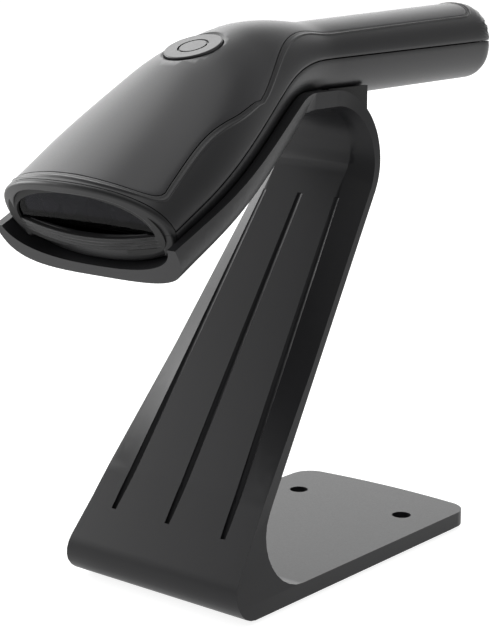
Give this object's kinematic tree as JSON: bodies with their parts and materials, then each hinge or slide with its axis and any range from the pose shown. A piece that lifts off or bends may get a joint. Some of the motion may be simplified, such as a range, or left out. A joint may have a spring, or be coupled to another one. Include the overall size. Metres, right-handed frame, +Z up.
{
  "type": "handheld barcode scanner on stand",
  "caption": "Black handheld barcode scanner with a wide oval scan window, round trigger and slim handle, resting in the cradle of a one-piece Z-shaped counter stand.",
  "frame": {"origin": "on the counter, below the middle of the whole object's bounding box", "axes": "+Z up, -Y the way the scan window faces, +Y towards the handle's end, +X across the object"},
  "size_m": [0.0708, 0.2006, 0.1748],
  "materials": {
    "stand_plastic": "fine spark-eroded satin",
    "housing_plastic": "fine spark-eroded satin",
    "cover_plastic": "smooth satin",
    "button_plastic": "smooth satin",
    "bezel_plastic": "satin",
    "gasket_rubber": "matt",
    "window_acrylic": "polished",
    "rest_rubber": "matt",
    "pad_rubber": "matt",
    "ballast_steel": "zinc plated",
    "screw_steel": "zinc plated",
    "circuit_board": "solder mask",
    "engine_plastic": "matt",
    "lens_aluminium": "black anodised",
    "lens_glass": "polished, coated",
    "sensor_package": "polished",
    "led_resin": "clear cast resin",
    "flex_film": "film",
    "chip_resin": "matt",
    "beeper_plastic": "satin",
    "switch_plastic": "satin",
    "plunger_plastic": "satin",
    "socket_plastic": "matt"
  },
  "bodies": {
    "stand": {"stand_body": "stand_plastic", "handle_rest": "rest_rubber", "base_ballast": "ballast_steel", "base_pad": "pad_rubber"},
    "scanner": {"lower_housing": "housing_plastic", "upper_housing": "housing_plastic", "top_cover": "cover_plastic", "nose_bezel": "bezel_plastic", "window_gasket": "gasket_rubber", "scan_window": "window_acrylic", "trigger_board": "circuit_board", "trigger_switch": "switch_plastic", "trigger_board_screws": "screw_steel", "scan_chassis": "engine_plastic", "lens_barrel": "lens_aluminium", "lens_glass": "lens_glass", "image_sensor": "sensor_package", "led_board": "circuit_board", "illumination_leds": "led_resin", "flex_cable": "flex_film", "main_board": "circuit_board", "main_board_screws": "screw_steel", "board_chips": "chip_resin", "beeper": "beeper_plastic", "cable_socket": "socket_plastic"},
    "button": {"trigger_button": "button_plastic"},
    "plunger": {"switch_plunger": "plunger_plastic"}
  },
  "joints": [
    {"name": "scanner_lift", "type": "slide", "parent": "stand", "child": "scanner", "axis": [0, 0, 1], "range_m": [0, 0.08]},
    {"name": "trigger_press", "type": "slide", "parent": "scanner", "child": "button", "axis": [0, 0.342, -0.9397], "range_m": [0, 0.0008], "stiffness_N_per_m": 1500, "springref_m": -0.0005},
    {"name": "plunger_press", "type": "slide", "parent": "scanner", "child": "plunger", "axis": [0, 0.342, -0.9397], "range_m": [0, 0.001]}
  ],
  "couplings": [
    {"joint": "plunger_press", "follows": "trigger_press", "ratio": 1}
  ]
}
